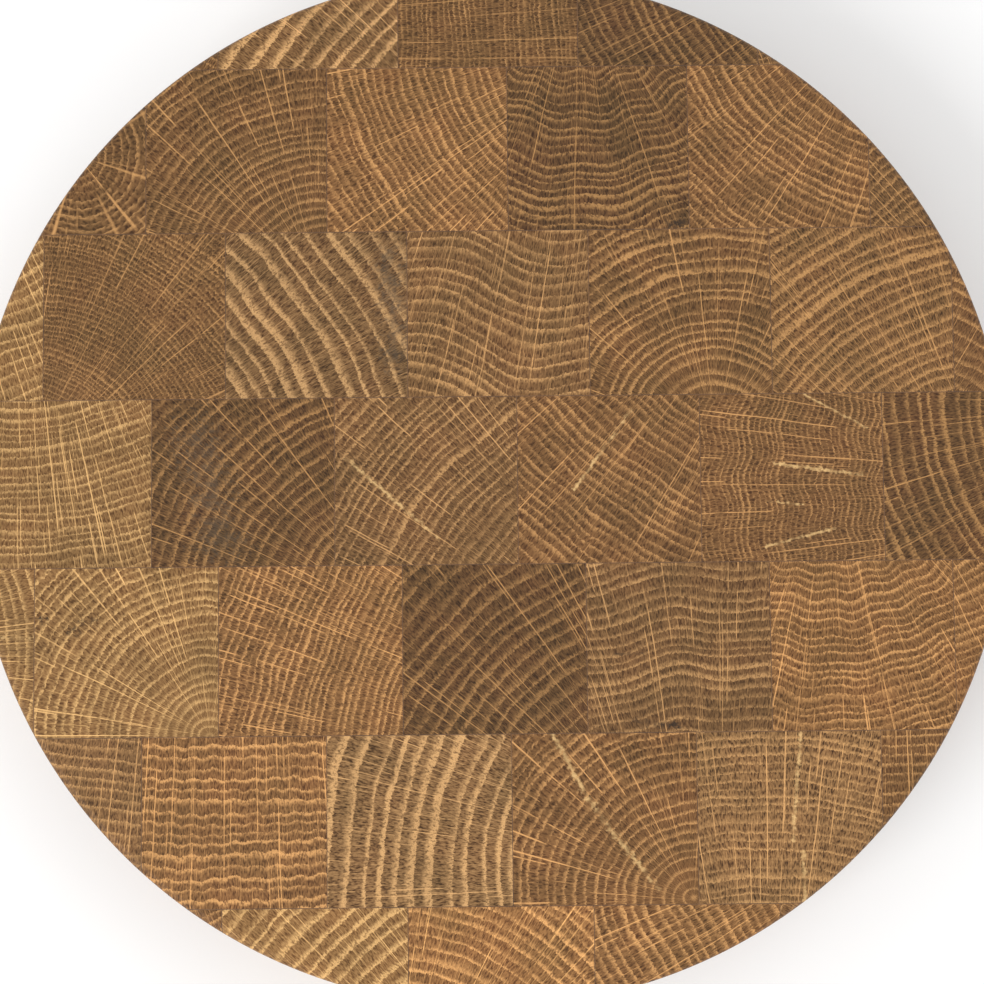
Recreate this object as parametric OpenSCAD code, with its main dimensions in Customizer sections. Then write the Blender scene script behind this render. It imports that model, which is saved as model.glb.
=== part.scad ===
// Round end-grain chopping block: short oak blocks glued in rows, turned to a disc.
// The rows run along X, row 1 is the farthest one (+Y), and block 1 is at the left (-X).
// The underside lies at Z = 0, and the origin is in the middle of it.

/* [Disc] */
// Diameter of the finished disc
board_d = 300; // [275:1:325]
// Thickness of the disc
board_h = 50; // [25:1:90]
// Radius of the round-over on the upper rim edge
top_edge_r = 2.5; // [0.5:0.1:10]
// Radius of the round-over on the lower rim edge
bottom_edge_r = 2.5; // [0.5:0.1:10]

/* [Blocks] */
// Width of a row of blocks, which is the width of one oak strip
row_w = 48.4; // [43:0.1:65]
// Length of a block along its row
block_l = 52.6; // [46:0.1:80]
// Thickness of the glue between two rows
row_glue_t = 0.2; // [0.1:0.05:0.5]
// Thickness of the glue between two blocks of a row
block_glue_t = 0.2; // [0.1:0.05:0.5]
// Narrowest piece that the rim may cut off a block and leave as a block of its own
least_chip = 4; // [2:0.5:12]

/* [Running bond] */
// Distance from the Y axis to the first glue line on its right, in row 1
seam_1 = 26.9; // [2:0.1:50]
// The same in row 2
seam_2 = 5.9; // [2:0.1:50]
// The same in row 3
seam_3 = 29.1; // [2:0.1:50]
// The same in row 4
seam_4 = 7.8; // [2:0.1:50]
// The same in row 5
seam_5 = 27.1; // [2:0.1:50]
// The same in row 6
seam_6 = 5.2; // [2:0.1:50]
// The same in row 7
seam_7 = 28.1; // [2:0.1:50]

/* [Hidden] */
$fn = 180;

board_r = board_d / 2;
// Saw cuts run this far past the disc
overcut = 1;
row_pitch = row_w + row_glue_t;
block_pitch = block_l + block_glue_t;
// Rows between the middle row and the rim, then all rows
side_rows = floor((board_r - least_chip - row_pitch / 2) / row_pitch) + 1;
row_count = 2 * side_rows + 1;
// Glue lines that a row could have on either side of its first one
most_seams = ceil(board_r / block_pitch) + 1;
seam_starts = [seam_1, seam_2, seam_3, seam_4, seam_5, seam_6, seam_7];

// Oak tones, and the tone of each block as the rows are laid
straw = "#b08a58";
tan_oak = "#a57b4c";
amber = "#a06f42";
umber = "#8a623b";
dark_oak = "#74532f";
row_tones = [
    [umber, tan_oak, umber, dark_oak, umber],
    [umber, umber, amber, dark_oak, amber, umber],
    [straw, umber, tan_oak, tan_oak, umber, umber, amber],
    [straw, dark_oak, tan_oak, amber, amber, dark_oak],
    [straw, straw, amber, dark_oak, tan_oak, amber, amber],
    [tan_oak, amber, straw, amber, tan_oak, umber],
    [amber, straw, amber, amber, tan_oak]
];

// Y of the middle of a row
function row_mid(row) = (side_rows + 1 - row) * row_pitch;

// Y of a row's near and far side: the first and last row run out past the rim
function row_near(row) = row == row_count ? -board_r - overcut : row_mid(row) - row_w / 2;
function row_far(row) = row == 1 ? board_r + overcut : row_mid(row) + row_w / 2;

// Half the length of a row, where the disc is widest across it
function row_reach(row) =
    let (inner = max(0, abs(row_mid(row)) - row_w / 2))
    sqrt(board_r * board_r - inner * inner);

// X of the glue lines across a row, from left to right
function seams(row) =
    let (start = seam_starts[(row - 1) % len(seam_starts)])
    [for (k = [-most_seams : most_seams])
        let (x = start + k * block_pitch)
        if (abs(x) < row_reach(row) - least_chip) x];

function block_count(row) = len(seams(row)) + 1;

// X of a block's left and right side: the outer blocks run out past the rim
function block_left(row, block) =
    block == 1 ? -board_r - overcut : seams(row)[block - 2] + block_glue_t / 2;
function block_right(row, block) =
    block == block_count(row) ? board_r + overcut : seams(row)[block - 1] - block_glue_t / 2;

function block_name(row, block) = str("row_", row, "_block_", block);
function tone(row, block) =
    let (tones = row_tones[(row - 1) % len(row_tones)])
    tones[(block - 1) % len(tones)];

// Half of the disc's section, from its axis to the rim, with both corners rounded over
module rim_section() {
    difference() {
        square([board_r, board_h]);
        round_over(top_edge_r, board_h - top_edge_r, 0);
        round_over(bottom_edge_r, bottom_edge_r, -1);
    }
}

// What a round-over takes off a corner: a square, less the circle that touches both faces.
// The square lies above the circle's centre with side 0, and below it with side -1.
module round_over(edge_r, z, side) {
    reach = edge_r + overcut;
    translate([board_r - edge_r, z])
        difference() {
            translate([0, side * reach])
                square(reach);
            circle(r = edge_r);
        }
}

module disc() {
    rotate_extrude()
        rim_section();
}

// What the turned disc leaves of a straight piece between two X and two Y values
module turned(left, right, near, far) {
    intersection() {
        disc();
        translate([left, near, -overcut])
            cube([right - left, far - near, board_h + 2 * overcut]);
    }
}

module oak_block(row, block) {
    color(tone(row, block))
        turned(block_left(row, block), block_right(row, block), row_near(row), row_far(row));
}

// Glue in the long joints, from rim to rim between two rows
module row_glue() {
    color("#4a331f")
        for (row = [1 : row_count - 1])
            turned(-board_r - overcut, board_r + overcut, row_far(row + 1), row_near(row));
}

// Glue in the short joints, between the blocks of each row
module block_glue() {
    color("#4a331f")
        for (row = [1 : row_count])
            for (x = seams(row))
                turned(x - block_glue_t / 2, x + block_glue_t / 2, row_near(row), row_far(row));
}

for (row = [1 : row_count])
    for (block = [1 : block_count(row)])
        oak_block(row, block);
row_glue();
block_glue();
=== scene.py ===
# %% [markdown]
# # A round end-grain chopping block
# The real block is a disc of short oak pieces that stand on end, glued in rows like bricks, so the
# knife meets the ends of the fibres. It could be modelled here from the start, but the CAD part
# already has every piece and every glue film in its place. So this lesson keeps those shapes and
# adds what they lack: a camera, light, and the figure of the wood in each piece.

# %% Load the packed block
import math
import bpy
from mathutils import Matrix, Vector


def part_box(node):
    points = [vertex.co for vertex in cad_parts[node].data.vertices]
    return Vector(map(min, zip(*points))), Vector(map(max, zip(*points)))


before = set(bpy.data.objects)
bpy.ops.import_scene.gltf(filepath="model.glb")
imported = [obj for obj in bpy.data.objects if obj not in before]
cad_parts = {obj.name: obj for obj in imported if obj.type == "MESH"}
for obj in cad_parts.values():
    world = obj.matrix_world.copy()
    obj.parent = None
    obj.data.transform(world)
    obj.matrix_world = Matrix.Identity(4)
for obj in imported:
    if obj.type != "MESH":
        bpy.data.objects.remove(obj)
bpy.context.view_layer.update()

MM = 0.001

# %% [markdown]
# ## Camera
# The picture looks almost straight down on the face. How far away the lens was isn't known, so
# about 60 cm above the face is taken. A camera could be aimed by eye, but the glue lines show at
# once when it is a little off. So the rest was worked out from the rim and the glue lines. The
# turns bring the board into the camera's own axes, and a camera is placed by the opposite turn, so
# the matrix is transposed.

# %% Camera
CAMERA_AT = Vector((-1.24, -51.91, 648.04)) * MM
TURNS = (("X", -0.0808235), ("Y", 0.0018555), ("Z", 0.0103272))
LENS_MM = 76.11
SENSOR_MM = 36.0


def add_object(name, data):
    """A new object in the scene."""
    made = bpy.data.objects.new(name, data)
    bpy.context.scene.collection.objects.link(made)
    return made


board_to_camera = Matrix.Identity(3)
for axis, angle in TURNS:
    board_to_camera = board_to_camera @ Matrix.Rotation(angle, 3, axis)
camera_data = bpy.data.cameras.new("camera")
camera_data.lens = LENS_MM
camera_data.sensor_width = SENSOR_MM
camera = add_object("camera", camera_data)
camera.matrix_world = Matrix.Translation(CAMERA_AT) @ board_to_camera.transposed().to_4x4()
bpy.context.scene.camera = camera
print("camera at", [round(v, 3) for v in CAMERA_AT], "with a lens of", LENS_MM, "mm")

# %% [markdown]
# ## Floor
# The picture shows the block on plain white. A white world with no floor would leave the block
# hanging in the air, so a wide sheet lies under it. In the plane of the underside the sheet would
# flicker through it, so it lies a hair lower. It is nearly white and matt, as the ground in the
# picture shows no gloss.

# %% Floor
FLOOR_SIDE = 6.0
FLOOR_DROP = 0.0004
FLOOR_WHITE = 0.93
FLOOR_ROUGHNESS = 0.9
FLOOR_GLOSS = 0.1


def white_floor():
    """A square sheet with its middle under the disc."""
    half = FLOOR_SIDE / 2
    corners = [(-half, -half), (half, -half), (half, half), (-half, half)]
    sheet = bpy.data.meshes.new("floor")
    sheet.from_pydata([(x, y, -FLOOR_DROP) for x, y in corners], [], [(0, 1, 2, 3)])
    paint = bpy.data.materials.new("floor_paint")
    paint.use_nodes = True
    shader = paint.node_tree.nodes["Principled BSDF"]
    shader.inputs["Base Color"].default_value = (FLOOR_WHITE, FLOOR_WHITE, FLOOR_WHITE, 1)
    shader.inputs["Roughness"].default_value = FLOOR_ROUGHNESS
    shader.inputs["Specular IOR Level"].default_value = FLOOR_GLOSS
    sheet.materials.append(paint)
    return add_object("floor", sheet)


floor = white_floor()
print("floor", FLOOR_SIDE, "m wide")

# %% [markdown]
# ## Light
# The picture has almost no shadow, and only the lower left of the rim is a little brighter. One
# strong lamp would draw a hard shadow. So most of the light comes evenly from all round, a large
# soft lamp stands at the lower left, and a weak one opposite. The Standard view keeps colours as
# they are, so a colour that is read off wood can be used as it is.

# %% Light
AMBIENT = 0.88
# The place and the side of each lamp in metres, and its power in watts
LAMPS = {"key": ((-1.1, -0.9, 1.3), 0.9, 15), "fill": ((0.9, 0.8, 1.6), 1.2, 4)}


def soft_lamp(name, place, side, watts):
    """A square lamp of the given side that looks at the middle of the disc."""
    light = bpy.data.lights.new(name, "AREA")
    light.size = side
    light.energy = watts
    facing = (-Vector(place)).to_track_quat("-Z", "Y").to_matrix().to_4x4()
    add_object(name, light).matrix_world = Matrix.Translation(place) @ facing
    print("lamp", name, "of", watts, "W")


studio = bpy.data.worlds.new("studio")
studio.use_nodes = True
background = studio.node_tree.nodes["Background"]
background.inputs["Color"].default_value = (1, 1, 1, 1)
background.inputs["Strength"].default_value = AMBIENT
bpy.context.scene.world = studio
for name, (place, side, watts) in LAMPS.items():
    soft_lamp(name, place, side, watts)
bpy.context.scene.view_settings.view_transform = "Standard"
bpy.context.scene.view_settings.look = "None"

# %% [markdown]
# ## Wiring
# A node material is a formula. It could be drawn by hand in the editor, or written as a long list
# of nodes and links. This helper adds the nodes of a formula and joins them as it goes, so that the
# cells below read as sums.

# %% Wiring
class Wiring:
    """Adds nodes to one node tree. A value is a number, a vector, a colour or a node's output."""

    def __init__(self, tree):
        self.tree = tree

    def feed(self, socket, value):
        """Joins a node's output to the socket, or sets the socket to the value."""
        if isinstance(value, bpy.types.NodeSocket):
            self.tree.links.new(value, socket)
        else:
            socket.default_value = value

    def node(self, kind, values=(), **settings):
        """A node with its settings, and its inputs fed by place or by name."""
        made = self.tree.nodes.new(kind)
        for name, value in settings.items():
            setattr(made, name, value)
        pairs = values.items() if isinstance(values, dict) else enumerate(values)
        for place, value in pairs:
            self.feed(made.inputs[place], value)
        return made

    def calc(self, operation, *values):
        """One operation of a Math node."""
        return self.node("ShaderNodeMath", values, operation=operation).outputs[0]

    def times(self, *values):
        """The product of two or more values."""
        product = values[0]
        for value in values[1:]:
            product = self.calc("MULTIPLY", product, value)
        return product

    def vector(self, operation, *values):
        """One operation of a Vector Math node."""
        made = self.node("ShaderNodeVectorMath", values, operation=operation)
        return made.outputs["Value" if operation in ("LENGTH", "DOT_PRODUCT") else "Vector"]

    def scale(self, vector, factor):
        """A vector times a number."""
        values = {"Vector": vector, "Scale": factor}
        return self.node("ShaderNodeVectorMath", values, operation="SCALE").outputs["Vector"]

    def xyz(self, x, y, z):
        """A vector made of three numbers."""
        return self.node("ShaderNodeCombineXYZ", (x, y, z)).outputs[0]

    def range(self, value, low, high, out_low=0.0, out_high=1.0):
        """Turns low..high into out_low..out_high, and holds it there outside."""
        return self.node("ShaderNodeMapRange", (value, low, high, out_low, out_high)).outputs["Result"]

    def noise(self, vector, scale, detail):
        """Smooth noise, about 0.5 on average, as a value and as a colour."""
        made = self.node("ShaderNodeTexNoise", {"Vector": vector, "Scale": scale, "Detail": detail})
        return made.outputs["Fac"], made.outputs["Color"]

    def chance(self, x, y, z=0.0):
        """The same random number, 0 to 1, wherever x, y and z are the same."""
        return self.node("ShaderNodeTexWhiteNoise", (self.xyz(x, y, z),)).outputs["Value"]

    def mix(self, factor, a, b, blend="MIX"):
        """A Mix node for colours, whose colours are its inputs 6 and 7 and its output 2."""
        made = self.node("ShaderNodeMix", {0: factor, 6: a, 7: b}, data_type="RGBA", blend_type=blend)
        return made.outputs[2]

    def darken(self, color, factor):
        """The colour times a grey of that brightness."""
        return self.mix(1.0, color, self.xyz(factor, factor, factor), "MULTIPLY")

    def group(self, group, values):
        """The outputs of a node that stands for a group, with its named inputs fed."""
        made = self.tree.nodes.new("ShaderNodeGroup")
        made.node_tree = group
        for title, value in values.items():
            self.feed(made.inputs[title], value)
        return made.outputs


print("operations:", ", ".join(name for name in vars(Wiring) if not name.startswith("_")))

# %% [markdown]
# ## Node groups
# All pieces are oak, so they share the way rings and rays are made and differ in their numbers. The
# same nodes could be repeated in every material. Here a group of nodes is built once instead, and
# each material places it and feeds its named sockets with its own numbers.

# %% Node groups
def new_group(name, inputs, outputs):
    """An empty group, from the titles and usual values of its inputs, and the titles and kinds of
    its outputs."""
    group = bpy.data.node_groups.new(name, "ShaderNodeTree")
    for title, value in inputs.items():
        kind = "NodeSocketVector" if isinstance(value, tuple) else "NodeSocketFloat"
        socket = group.interface.new_socket(title, in_out="INPUT", socket_type=kind)
        socket.default_value = value
    for title, kind in outputs.items():
        group.interface.new_socket(title, in_out="OUTPUT", socket_type="NodeSocket" + kind)
    entry = group.nodes.new("NodeGroupInput").outputs
    leave = group.nodes.new("NodeGroupOutput").inputs
    print("group", name, "with the inputs", ", ".join(inputs))
    return group, Wiring(group), entry, leave


print("groups so far:", len(bpy.data.node_groups))

# %% [markdown]
# ## Growth field
# End grain shows a slice through a trunk: rings round the pith, and rays that point at it. A Wave
# Texture can draw rings, but it doesn't tell a ray where the pith is. So this group works out two
# numbers at each point: how far it is from the pith, and how far round the pith. Trunks aren't true
# circles, so a slow noise and a wave bend the rings, and the rays bend less. Down the side of the
# disc the wood runs straight up and down, so height counts very little.

# %% Growth field group
MM_A_METRE = 1 / MM
HEIGHT_SHARE = 0.03
# How far the noise moves from one seed to the next, in mm
SEED_STEP = 37.0
# A noise is how fine it is, per mm, and its detail
SLOW_NOISE = (0.045, 2.0)
FINE_NOISE = (0.35, 1.0)
NOISE_MIDDLE = 0.5
# How strongly the slow noise bends the rings and the rays, and the fine noise the rings
RING_BEND = 2.2
RAY_BEND = 0.5
FINE_BEND = 0.6


def growth_field():
    """Radius = distance to the pith plus a sine of the arc; arc = angle round the pith times its
    distance from the piece. Both are in mm."""
    group, w, given, out = new_group(
        "growth_field",
        {"Pith": (0, 0, 0), "To Block": (1, 0, 0), "Pith Distance": 60.0, "Wander": 2.0,
         "Wave Height": 0.0, "Wave Length": 20.0, "Seed": 0.0},
        {"Radius": "Float", "Arc": "Float", "Point": "Vector"})
    place = w.node("ShaderNodeTexCoord").outputs["Object"]
    place = w.vector("MULTIPLY", place, (MM_A_METRE, MM_A_METRE, MM_A_METRE * HEIGHT_SHARE))
    point = w.vector("ADD", place, w.xyz(0.0, 0.0, w.times(given["Seed"], SEED_STEP)))
    middle = (NOISE_MIDDLE, NOISE_MIDDLE, NOISE_MIDDLE)
    slow = w.vector("SUBTRACT", w.noise(point, *SLOW_NOISE)[1], middle)
    fine = w.vector("SUBTRACT", w.noise(point, *FINE_NOISE)[1], middle)
    bent = w.vector("ADD", place, w.scale(slow, w.times(given["Wander"], RING_BEND)))
    bent = w.vector("ADD", bent, w.scale(fine, FINE_BEND))
    from_pith = w.vector("MULTIPLY", w.vector("SUBTRACT", bent, given["Pith"]), (1, 1, 0))
    across = w.vector("CROSS_PRODUCT", (0, 0, 1), given["To Block"])
    straight = w.vector("ADD", place, w.scale(slow, w.times(given["Wander"], RAY_BEND)))
    straight = w.vector("SUBTRACT", straight, given["Pith"])
    sideways = w.vector("DOT_PRODUCT", straight, across)
    outwards = w.vector("DOT_PRODUCT", straight, given["To Block"])
    arc = w.times(w.calc("ARCTAN2", sideways, outwards), given["Pith Distance"])
    turns = w.calc("ADD", w.calc("DIVIDE", arc, given["Wave Length"]), given["Seed"])
    wave = w.times(w.calc("SINE", w.times(turns, math.tau)), given["Wave Height"])
    w.feed(out["Radius"], w.calc("ADD", w.vector("LENGTH", from_pith), wave))
    w.feed(out["Arc"], arc)
    w.feed(out["Point"], point)
    return group


GROWTH_FIELD = growth_field()

# %% [markdown]
# ## Growth rings
# Oak starts each year with a band of large open pores, a pale line with a sharp inner edge that
# fades into dense brown wood. Evenly spaced stripes would look printed, because no two years are
# alike. So the radius is cut into years, a slow noise changes how wide they are, and two random
# numbers a year set how strong its band is and where it ends. A noise drawn out along the radius
# gives the band its ragged edge, and another splits it into beads.

# %% Growth ring group
# A noise along the rays is how fine it is across them and along them, per mm, and its detail. A cut
# is the part of a noise that is stretched to the whole effect.
EDGE_NOISE = (2.3, 0.5, 1.0)
EDGE_DEPTH = 1.3
BEAD_NOISE = (1.9, 1.1, 1.0)
BEAD_CUT = (0.34, 0.58)
BEAD_STRENGTH = (0.2, 1.35)
PATCH_NOISE = (0.09, 2.0)
PATCH_CUT = (0.3, 0.7)
PATCH_STRENGTH = (0.6, 1.2)
PORE_NOISE = (3.2, 0.0)
PORE_CUT = (0.6, 0.7)
# How far the years drift, in years, and how fast and with what detail
DRIFT = 1.6
DRIFT_FINENESS = 0.31
DRIFT_DETAIL = 2.0
# Where in its year a band has risen, where it starts to fall and where it ends
BAND_RISE = 0.06
BAND_FULL = 0.12
BAND_END = (0.32, 0.62)
BAND_STRENGTH = (0.6, 1.35)
# The number that sets the random draw of the band's end apart from that of its strength
END_DRAW = 3.0


def ray_noise(w, given, across, along, detail, seed=0.0):
    """A noise of the arc and the radius, each times its own fineness."""
    place = w.xyz(w.times(given["Arc"], across), w.times(given["Radius"], along), seed)
    return w.noise(place, 1.0, detail)[0]


def growth_rings():
    """Band = a rise and a fall within each year, times the strength of the year, patches and beads."""
    group, w, given, out = new_group(
        "growth_rings",
        {"Radius": 0.0, "Arc": 0.0, "Point": (0, 0, 0), "Ring Spacing": 2.6, "Seed": 0.0},
        {"Band": "Float", "Pores": "Float"})
    teeth = w.calc("SUBTRACT", ray_noise(w, given, *EDGE_NOISE), NOISE_MIDDLE)
    ragged = w.calc("ADD", given["Radius"], w.times(teeth, EDGE_DEPTH))
    years = w.calc("DIVIDE", ragged, given["Ring Spacing"])
    drift_at = w.xyz(w.times(years, DRIFT_FINENESS), given["Seed"], 0.0)
    drift = w.calc("SUBTRACT", w.noise(drift_at, 1.0, DRIFT_DETAIL)[0], NOISE_MIDDLE)
    years = w.calc("ADD", years, w.times(drift, DRIFT))
    year = w.calc("FLOOR", years)
    season = w.calc("FRACT", years)
    strength = w.range(w.chance(year, given["Seed"]), 0.0, 1.0, *BAND_STRENGTH)
    band_end = w.range(w.chance(year, given["Seed"], END_DRAW), 0.0, 1.0, *BAND_END)
    shape = w.times(w.range(season, 0.0, BAND_RISE), w.range(season, BAND_FULL, band_end, 1.0, 0.0))
    beads = w.range(ray_noise(w, given, *BEAD_NOISE, given["Seed"]), *BEAD_CUT, *BEAD_STRENGTH)
    patches = w.range(w.noise(given["Point"], *PATCH_NOISE)[0], *PATCH_CUT, *PATCH_STRENGTH)
    open_pores = w.range(w.noise(given["Point"], *PORE_NOISE)[0], *PORE_CUT)
    w.feed(out["Band"], w.times(shape, strength, patches, beads))
    w.feed(out["Pores"], w.times(open_pores, shape))
    return group


GROWTH_RINGS = growth_rings()

# %% [markdown]
# ## Rays
# Sheets of pale cells run from the pith to the bark. On end grain each is a thin bright line that
# crosses the rings, and starts and stops abruptly. Stretched noise would blur them. So the field is
# cut into narrow slices by arc, and each slice into lengths by radius, and a random number a cell
# says whether a ray is there and how bright it is. Oak has broad rays far apart and fine ones close
# together, so three sets of cells are laid over each other.

# %% Ray group
# Pitch, width and length are in mm, share is the share of cells with a ray, and draw sets the
# random numbers of one set apart from those of the others.
LONG_RAYS = {"pitch": 4.9, "width": 0.23, "length": 44.0, "share": 0.42, "draw": 1.0}
SHORT_RAYS = {"pitch": 2.6, "width": 0.18, "length": 16.0, "share": 0.22, "draw": 2.0}
FINE_RAYS = {"pitch": 1.1, "width": 0.14, "length": 8.0, "share": 0.35, "draw": 3.0}
SECOND_DRAW = 0.5
# The brightness of the fine set beside the others, and that of the faintest ray of a set
FINE_STRENGTH = 0.55
LEAST_RAY = 0.45
# How far the cells of two slices can be shifted against each other, in lengths
CELL_SHIFT = 7.0
# Where a line can lie in its slice, and from where to where its edge fades, in half widths
LINE_PLACE = (0.25, 0.75)
LINE_EDGE = (0.4, 1.7)
# Where in its cell a line has come up, and from where to where it fades again
LINE_START = 0.06
LINE_STOP = (0.8, 0.97)
BREAK_NOISE = (0.9, 1.0)
BREAK_CUT = (0.35, 0.5)
BREAK_LEAST = 0.55


def ray_set(w, given, amount, pitch, width, length, share, draw):
    """Rays of one kind = a line in its slice, times its two ends, where the cell has a ray, times
    how bright that ray is."""
    slices = w.calc("DIVIDE", given["Arc"], pitch)
    slice_number = w.calc("FLOOR", slices)
    luck = w.chance(slice_number, given["Seed"], draw)
    lengths = w.calc("ADD", w.calc("DIVIDE", given["Radius"], length), w.times(luck, CELL_SHIFT))
    cell_number = w.calc("ADD", w.calc("FLOOR", lengths), given["Seed"])
    cell = w.chance(slice_number, cell_number, draw + SECOND_DRAW)
    line_place = w.range(luck, 0.0, 1.0, *LINE_PLACE)
    off_line = w.calc("ABSOLUTE", w.calc("SUBTRACT", w.calc("FRACT", slices), line_place))
    half = width / pitch / 2
    line = w.range(off_line, half * LINE_EDGE[0], half * LINE_EDGE[1], 1.0, 0.0)
    along = w.calc("FRACT", lengths)
    ends = w.times(w.range(along, 0.0, LINE_START), w.range(along, *LINE_STOP, 1.0, 0.0))
    bright = w.calc("ADD", w.range(cell, 1.0 - share, 1.0), LEAST_RAY)
    filled = w.times(w.calc("GREATER_THAN", cell, 1.0 - share), bright)
    return w.times(line, ends, filled, amount)


def oak_rays():
    """Ray = the brightest of the three sets, broken up by a noise."""
    group, w, given, out = new_group(
        "oak_rays",
        {"Radius": 0.0, "Arc": 0.0, "Point": (0, 0, 0), "Coarse": 1.0, "Fine": 1.0, "Seed": 0.0},
        {"Ray": "Float"})
    long = ray_set(w, given, given["Coarse"], **LONG_RAYS)
    short = ray_set(w, given, given["Coarse"], **SHORT_RAYS)
    fine = w.times(ray_set(w, given, given["Fine"], **FINE_RAYS), FINE_STRENGTH)
    brightest = w.calc("MAXIMUM", w.calc("MAXIMUM", long, short), fine)
    breaks = w.range(w.noise(given["Point"], *BREAK_NOISE)[0], *BREAK_CUT, BREAK_LEAST, 1.0)
    w.feed(out["Ray"], w.times(brightest, breaks))
    return group


OAK_RAYS = oak_rays()

# %% [markdown]
# ## Flecks and tone
# Between the pale bands the late wood holds short dark and light dashes that point at the pith, and
# slow patches where a piece turns more olive or more red. A plain noise would make round spots, so
# the dashes read a noise in arc and radius, squeezed across the rays.

# %% Fleck and tone group
DASH_NOISE = (2.9, 0.75, 1.5)
TONE_NOISE = (0.07, 2.0)
GRIT_NOISE = (4.5, 2.0)
NOISE_CUT = (0.3, 0.7)


def oak_flecks():
    """Fleck and Tone = noises stretched to 0..1, Grit = a fine noise as it is."""
    group, w, given, out = new_group(
        "oak_flecks",
        {"Radius": 0.0, "Arc": 0.0, "Point": (0, 0, 0), "Seed": 0.0},
        {"Fleck": "Float", "Tone": "Float", "Grit": "Float"})
    w.feed(out["Fleck"], w.range(ray_noise(w, given, *DASH_NOISE, given["Seed"]), *NOISE_CUT))
    w.feed(out["Tone"], w.range(w.noise(given["Point"], *TONE_NOISE)[0], *NOISE_CUT))
    w.feed(out["Grit"], w.noise(given["Point"], *GRIT_NOISE)[0])
    return group


OAK_FLECKS = oak_flecks()

# %% [markdown]
# ## Marks
# A few pieces have marks of their own: a pale torn streak, a small dark knot, or a grey patch. They
# could be painted on an image, but a formula stays sharp at any size. Each mark is a short line, its
# mask comes from the distance to that line, and a noise tears its edge and leaves gaps.

# %% Mark group
TEAR_NOISE = (0.9, 3.0)
GAP_NOISE = (0.28, 2.0)
GAP_CUT = (0.38, 0.56)
GAP_LEAST = 0.15
# How far the edge is torn, and how far out a mark fades to nothing, in widths
TEAR_DEPTH = 2.6
MARK_FADE = 0.6


def wood_mark():
    """Mask = 1 on the line from Start to End, less the further off a point lies, in widths and
    shifted by the tear noise, times the gaps."""
    group, w, given, out = new_group(
        "wood_mark", {"Start": (0, 0, 0), "End": (1, 0, 0), "Width": 1.0}, {"Mask": "Float"})
    place = w.node("ShaderNodeTexCoord").outputs["Object"]
    place = w.vector("MULTIPLY", place, (MM_A_METRE, MM_A_METRE, 0))
    from_start = w.vector("SUBTRACT", place, given["Start"])
    whole = w.vector("SUBTRACT", given["End"], given["Start"])
    whole_squared = w.vector("DOT_PRODUCT", whole, whole)
    share = w.calc("DIVIDE", w.vector("DOT_PRODUCT", from_start, whole), whole_squared)
    nearest = w.scale(whole, w.range(share, 0.0, 1.0))
    apart = w.vector("LENGTH", w.vector("SUBTRACT", from_start, nearest))
    apart = w.calc("DIVIDE", apart, given["Width"])
    tear = w.calc("SUBTRACT", w.noise(place, *TEAR_NOISE)[0], NOISE_MIDDLE)
    apart = w.calc("ADD", apart, w.times(tear, TEAR_DEPTH))
    gaps = w.range(w.noise(place, *GAP_NOISE)[0], *GAP_CUT, GAP_LEAST, 1.0)
    w.feed(out["Mask"], w.times(w.range(apart, 0.0, MARK_FADE, 1.0, 0.0), gaps))
    return group


WOOD_MARK = wood_mark()

# %% [markdown]
# ## Oak material
# Each piece came from another strip of wood. One material for all would let the rings run on from
# piece to piece, which glued wood never does. So each piece has its own material, with its own
# pith, rings and colours, made from the same groups. Dense wood is the ground, bands and rays are
# laid over it in the pale colour, and the pale wood is a little rougher. The rim is cut along the
# grain, where bands and rays show less, so they are weaker where the surface doesn't face up or
# down.

# %% Oak colours
# The screen colours of the dense wood and of the pale wood, 0 to 255 a channel
TONES = {
    "straw": ((106, 70, 34), (206, 163, 106)),
    "cream": ((80, 50, 22), (206, 160, 106)),
    "tan": ((84, 54, 27), (192, 146, 94)),
    "amber": ((82, 51, 25), (190, 141, 88)),
    "umber": ((70, 44, 21), (174, 130, 81)),
    "dark": ((52, 31, 15), (163, 121, 74)),
}
OLIVE = (92, 72, 33)
REDDISH = (118, 66, 36)
# The screen colour of each kind of mark, and how much of the wood it hides
MARKS = {"torn": ((218, 178, 120), 0.9), "knot": ((44, 34, 26), 0.85), "grey": ((84, 72, 58), 0.55)}


def paint_of(rgb, factor=1.0):
    """A screen colour as the light value that a shader takes, by the formula of sRGB screens."""
    parts = [min(1.0, c / 255 * factor) for c in rgb]
    return (*[p / 12.92 if p <= 0.04045 else ((p + 0.055) / 1.055) ** 2.4 for p in parts], 1.0)


print("tones of oak:", ", ".join(TONES))

# %% [markdown]
# ## Layers of the wood
# A real end-grain face is one surface, but the eye sees it as layers: dense wood, pale bands with
# dark pores, rays, and now and then a mark. One long formula could mix them all at once. A few
# functions are easier to change: the first makes the ground, and the others lay colours over it.

# %% Layers of the wood
# How much of a layer shows over the one below it
TONE_SHARE = 0.18
PALE_FLECKS = 0.36
DARK_FLECKS = 0.34
DARK_PORES = 0.4
RAY_SHARE = 0.95
RAY_BRIGHTER = 1.14
# What is left of bands and rays on the rim, and from where to where the rim turns into a face, by
# how far the surface faces up or down
RIM_STRENGTH = 0.5
RIM_TO_FACE = (0.2, 0.8)


def new_material(name):
    """A node material, with its wiring and its shader."""
    material = bpy.data.materials.new(name)
    material.use_nodes = True
    return material, Wiring(material.node_tree), material.node_tree.nodes["Principled BSDF"]


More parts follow.
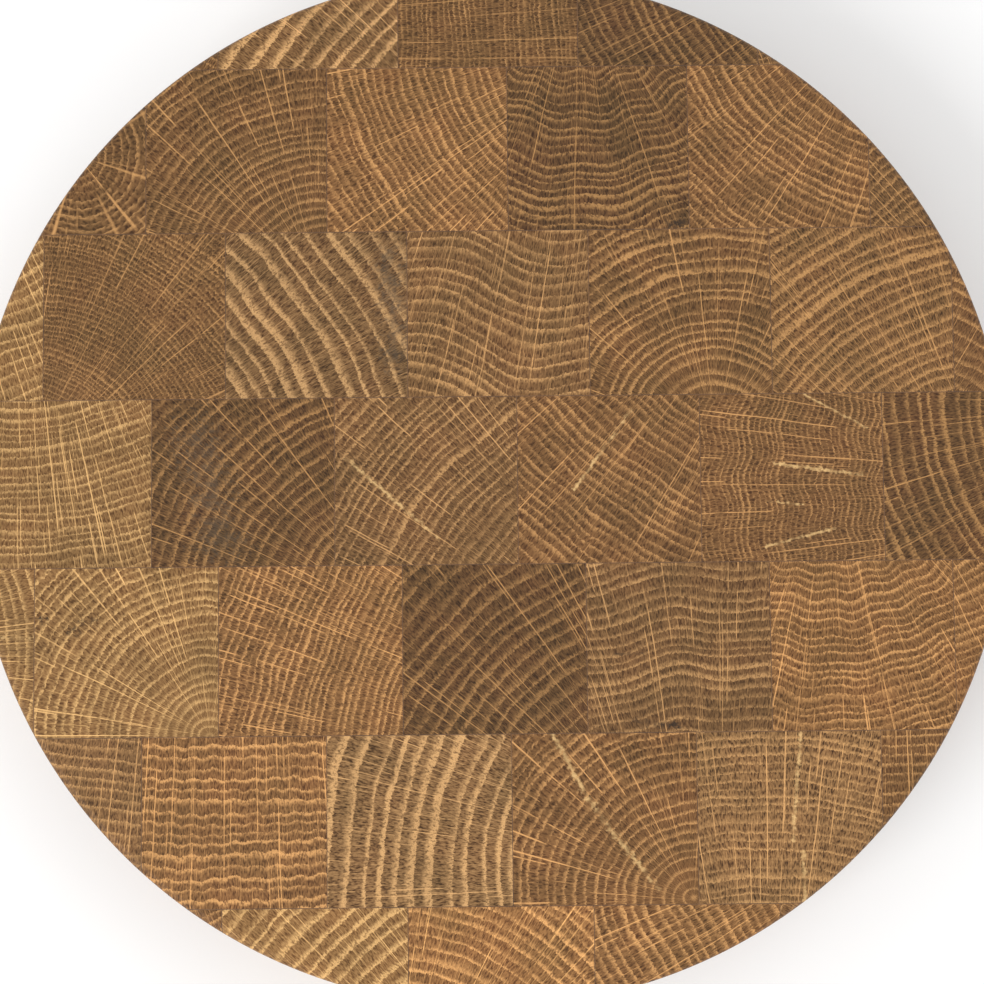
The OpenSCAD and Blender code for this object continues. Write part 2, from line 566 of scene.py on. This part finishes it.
def grown_field(w, figure, middle, seed):
    """The growth field of a piece, whose pith lies square to the way its rings run."""
    run = math.radians(figure["run"])
    side = math.copysign(1.0, figure["pith"])
    far = abs(figure["pith"])
    toward = Vector((-math.sin(run) * side, math.cos(run) * side, 0.0))
    return w.group(GROWTH_FIELD, {
        "Pith": middle + toward * far, "To Block": -toward, "Pith Distance": far,
        "Wander": figure["wander"], "Wave Height": figure["wave"],
        "Wave Length": figure["wave_long"], "Seed": seed})


def dense_wood(w, figure, flecks):
    """The brown ground: the dense colour with patches of tone, and pale and dark flecks."""
    shade = figure["shade"]
    dense, pale = (paint_of(rgb, shade) for rgb in TONES[figure["tone"]])
    tone = w.mix(flecks["Tone"], paint_of(OLIVE, shade), paint_of(REDDISH, shade))
    ground = w.mix(TONE_SHARE, dense, tone)
    ground = w.mix(w.times(flecks["Fleck"], PALE_FLECKS * figure["flecks"]), ground, pale)
    darkest = 1.0 - DARK_FLECKS * figure["flecks"]
    return w.darken(ground, w.range(flecks["Fleck"], 0.0, NOISE_MIDDLE, darkest, 1.0))


def pale_wood(w, figure, ground, rings, rays):
    """The ground with its pale bands, dark pores and bright rays."""
    shade = figure["shade"]
    dense, pale = TONES[figure["tone"]]
    normal = w.node("ShaderNodeNewGeometry").outputs["True Normal"]
    upwards = w.calc("ABSOLUTE", w.node("ShaderNodeSeparateXYZ", (normal,)).outputs["Z"])
    face = w.range(upwards, *RIM_TO_FACE, RIM_STRENGTH, 1.0)
    band = w.calc("MINIMUM", w.times(rings["Band"], figure["bands"], face), 1.0)
    banded = w.mix(band, ground, paint_of(pale, shade))
    banded = w.mix(w.times(rings["Pores"], DARK_PORES), banded, paint_of(dense, shade))
    ray = w.calc("MINIMUM", w.times(rays["Ray"], RAY_SHARE, face), RAY_SHARE)
    return w.mix(ray, banded, paint_of(pale, shade * RAY_BRIGHTER))


def marked_wood(w, color, marks):
    """The colour with the piece's own marks laid over it."""
    for kind, start, end, width in marks:
        rgb, amount = MARKS[kind]
        line = {"Start": (*start, 0.0), "End": (*end, 0.0), "Width": width}
        color = w.mix(w.times(w.group(WOOD_MARK, line)["Mask"], amount), color, paint_of(rgb))
    return color


print("a ray hides", RAY_SHARE, "of the wood below it")

# %% [markdown]
# ## A finished piece of oak
# End grain that has been cut smooth stays a little lower and duller where its pores are open. Real
# dents could be cut into the mesh, but they are far below a millimetre. So the bands only lower the
# surface in a bump, and make it rougher.

# %% A finished piece of oak
# Brightness from the darkest patch or grit to the brightest
PATCH_DEPTH = (0.86, 1.07)
GRIT_DEPTH = (0.86, 1.12)
# Roughness of the dense wood and of the pale wood, and the gloss of both
ROUGHNESS = (0.5, 0.68)
GLOSS = 0.2
# Grit raises and bands lower the surface by these shares of the bump's distance in metres
BUMP_STRENGTH = 0.25
BUMP_DISTANCE = 0.0002
GRIT_RISE = 0.5
BAND_DROP = 0.5


def oak_material(name, figure, middle, seed):
    """One piece of oak. middle is the middle of the piece in mm, figure its entry in the table."""
    material, w, shader = new_material(name)
    field = grown_field(w, figure, middle, seed)
    shared = {"Radius": field["Radius"], "Arc": field["Arc"], "Point": field["Point"], "Seed": seed}
    rings = w.group(GROWTH_RINGS, {**shared, "Ring Spacing": figure["ring"]})
    rays = w.group(OAK_RAYS, {**shared, "Coarse": figure["rays"], "Fine": figure["fine"]})
    flecks = w.group(OAK_FLECKS, shared)
    color = pale_wood(w, figure, dense_wood(w, figure, flecks), rings, rays)
    color = marked_wood(w, color, figure["marks"])
    patches = w.range(flecks["Tone"], 0.0, 1.0, *PATCH_DEPTH)
    grain = w.times(patches, w.range(flecks["Grit"], *NOISE_CUT, *GRIT_DEPTH))
    w.feed(shader.inputs["Base Color"], w.darken(color, grain))
    w.feed(shader.inputs["Roughness"], w.range(rings["Band"], 0.0, 1.0, *ROUGHNESS))
    shader.inputs["Specular IOR Level"].default_value = GLOSS
    height = w.calc("SUBTRACT", w.times(flecks["Grit"], GRIT_RISE), w.times(rings["Band"], BAND_DROP))
    bump = {"Strength": BUMP_STRENGTH, "Distance": BUMP_DISTANCE, "Height": height}
    w.feed(shader.inputs["Normal"], w.node("ShaderNodeBump", bump).outputs["Normal"])
    return material


print("roughness of oak:", ROUGHNESS)

# %% [markdown]
# ## Figure of each piece
# A random figure in each piece would make some other block. So each piece has its entry in a table,
# row by row from the back, and from left to right. run is the direction in which the rings cross
# the piece, in degrees from +X. pith is how far the pith lies from the middle of the piece in mm,
# on the left of that direction, or on its right where it is negative. ring is the width of a year
# in mm. A mark is its kind, its two ends in mm from the middle of the disc, and its width.

# %% Figure table
USUAL = {"shade": 1.0, "bands": 0.85, "rays": 0.8, "fine": 0.8, "flecks": 1.0,
         "wander": 2.0, "wave": 0.0, "wave_long": 20.0, "marks": ()}


def piece(tone, run, pith, ring, **more):
    """An entry of the table, with the usual values where it gives none."""
    return {**USUAL, "tone": tone, "run": run, "pith": pith, "ring": ring, **more}


ROWS = [
    [piece("umber", -30, 80, 2.6),
     piece("cream", 50, -150, 5.2, bands=1.1),
     piece("umber", 93, 200, 1.6, bands=0.7),
     piece("dark", -62, 120, 2.7, shade=0.96),
     piece("umber", 20, 90, 2.0)],
    [piece("umber", 50, 6, 2.2, rays=1.1, shade=0.99),
     piece("umber", 32, -46, 2.6, rays=1.1),
     piece("amber", -61, 90, 2.45, rays=1.0, shade=1.04),
     piece("dark", 5, 56, 2.5, bands=1.0, wave=0.8, wave_long=18.0,
           marks=[("knot", (53, 74), (57, 75), 3.0)]),
     piece("amber", -39, 79, 2.6),
     piece("umber", 38, -150, 2.6, rays=1.1, flecks=1.3)],
    [piece("straw", 20, 130, 3.3),
     piece("umber", -35, -59, 1.4, bands=0.7, shade=1.02),
     piece("cream", -57, -150, 4.9, bands=1.25, flecks=1.1, rays=0.3, shade=0.93,
           marks=[("grey", (-29, 65), (-27, 35), 9.0)]),
     piece("tan", -12, 300, 3.3, wave=3.2, wave_long=52.0, shade=0.99),
     piece("umber", 15, -38, 3.0, bands=1.05, shade=1.04),
     piece("umber", 30, -90, 3.35, bands=1.1, flecks=1.4, shade=1.04),
     piece("amber", -30, -90, 3.5, shade=0.95)],
    [piece("straw", 8, 100, 2.4, rays=1.5, fine=1.2, shade=0.97),
     piece("dark", 50, -70, 3.2, rays=1.5,
           marks=[("grey", (-85, 12), (-78, -16), 15.0)]),
     piece("tan", 50, -120, 2.5, rays=1.4, shade=0.95,
           marks=[("torn", (-42, 7), (-15, -17), 1.1)]),
     piece("amber", -38, 140, 2.6, shade=0.96,
           marks=[("torn", (24, -3), (41, 20), 1.0)]),
     piece("amber", 88, -150, 1.6, bands=0.75, rays=1.2, wave=0.8, wave_long=15.0, shade=0.95,
           marks=[("torn", (82, 4), (107, 0.5), 1.1), ("torn", (79, -20), (99, -15), 0.8),
                  ("torn", (80, -7), (90, -8), 0.7), ("torn", (91, 24), (109, 14), 0.7)]),
     piece("dark", -72, 70, 3.5, shade=1.02)],
    [piece("straw", 90, 60, 3.0,
           marks=[("torn", (-140, -44), (-131, -44), 1.1)]),
     piece("straw", 45, -34, 2.45, rays=1.2,
           marks=[("knot", (-131, -40), (-128, -39.5), 2.6),
                  ("knot", (-121, -43), (-115, -39), 2.8)]),
     piece("amber", 70, -150, 2.2, rays=1.1, shade=1.05),
     piece("dark", 42, -110, 3.9, rays=1.4, shade=0.97),
     piece("tan", 5, -120, 2.9, rays=1.2, wave=1.0, wave_long=30.0, shade=0.94,
           marks=[("knot", (41, -70), (53, -71), 2.2), ("knot", (35, -50.5), (43, -50.5), 0.8)]),
     piece("amber", 8, 60, 2.45, wave=0.6, wave_long=15.0, shade=1.08),
     piece("amber", 25, 90, 2.6, shade=1.08)],
    [piece("tan", -9, 220, 2.9, flecks=1.2, shade=0.99),
     piece("amber", 0, 400, 3.1, bands=1.1, wave=0.3, wave_long=6.0, shade=1.09),
     piece("cream", 80, -100, 5.0, bands=1.3, flecks=1.3, rays=0.7),
     piece("amber", 47, -34, 2.75, rays=1.1,
           marks=[("torn", (16.5, -72), (26.5, -91), 1.5), ("torn", (26.5, -91), (38.5, -107), 1.7),
                  ("torn", (38.5, -107), (46.5, -117), 1.4)]),
     piece("tan", -4, -120, 2.45, flecks=1.6, rays=1.2, shade=0.99,
           marks=[("torn", (88, -73), (85, -104), 1.2), ("torn", (88, -107), (88, -121), 1.2)]),
     piece("umber", 2, 150, 2.6, rays=1.3, shade=1.05)],
    [piece("amber", 20, 90, 2.6),
     piece("straw", 45, -150, 4.1, bands=1.1, shade=1.06),
     piece("amber", -30, -70, 3.2, shade=1.2),
     piece("amber", -60, 100, 2.9, shade=1.07),
     piece("tan", 60, 100, 2.9)],
]
print("pieces in each row:", [len(row) for row in ROWS])

# %% [markdown]
# ## Dress the pieces
# The real pieces differ in their wood and in what the rim cuts off them. Painted copies of them
# could hide the CAD pieces, but then each shape would be there twice. So each CAD node, named
# by row and by place in the row as the table is laid out, keeps its mesh and takes the new
# material. The seed moves the noise, so that two pieces with much the same figure still differ.

# %% Dress the pieces
SEED_A_BLOCK = 0.137


def dress(name, material):
    """Every slot of the node of that name takes the material."""
    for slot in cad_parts[name].material_slots:
        slot.material = material


def middle_of(name):
    """The middle of a node seen from above, in mm."""
    low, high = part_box(name)
    return Vector(((low[0] + high[0]) / 2, (low[1] + high[1]) / 2, 0.0)) / MM


for row_number, row in enumerate(ROWS, 1):
    for block_number, figure in enumerate(row, 1):
        name = f"row_{row_number}_block_{block_number}"
        seed = row_number + SEED_A_BLOCK * block_number
        dress(name, oak_material("oak_" + name, figure, middle_of(name), seed))
    print("row", row_number, "has", len(row), "pieces")

# %% [markdown]
# ## Glue
# The films between the pieces are a fifth of a millimetre thick. Painted lines on the wood would
# do from above, but the films are solids of their own, so they get a material. Glue dries brown and
# takes up wood dust, so a slow noise makes the line darker in some places than in others.

# %% Glue
GLUE_DARK = (66, 43, 26)
GLUE_LIGHT = (112, 78, 48)
DUST_NOISE = (0.12, 3.0)
DUST_CUT = (0.35, 0.65)
GLUE_ROUGHNESS = (0.45, 0.65)


def glue_material():
    """Brown glue with more dust in some places."""
    material, w, shader = new_material("brown_wood_glue")
    point = w.scale(w.node("ShaderNodeTexCoord").outputs["Object"], MM_A_METRE)
    dust = w.range(w.noise(point, *DUST_NOISE)[0], *DUST_CUT)
    w.feed(shader.inputs["Base Color"], w.mix(dust, paint_of(GLUE_DARK), paint_of(GLUE_LIGHT)))
    w.feed(shader.inputs["Roughness"], w.range(dust, 0.0, 1.0, *GLUE_ROUGHNESS))
    return material


glue = glue_material()
for name in ("row_glue", "block_glue"):
    dress(name, glue)
print("dressed the two sets of glue films")

# %% [markdown]
# ## Sizes
# The dressed block must be as large as the real one, which the CAD part stands for. It could be
# measured by hand in the viewport.
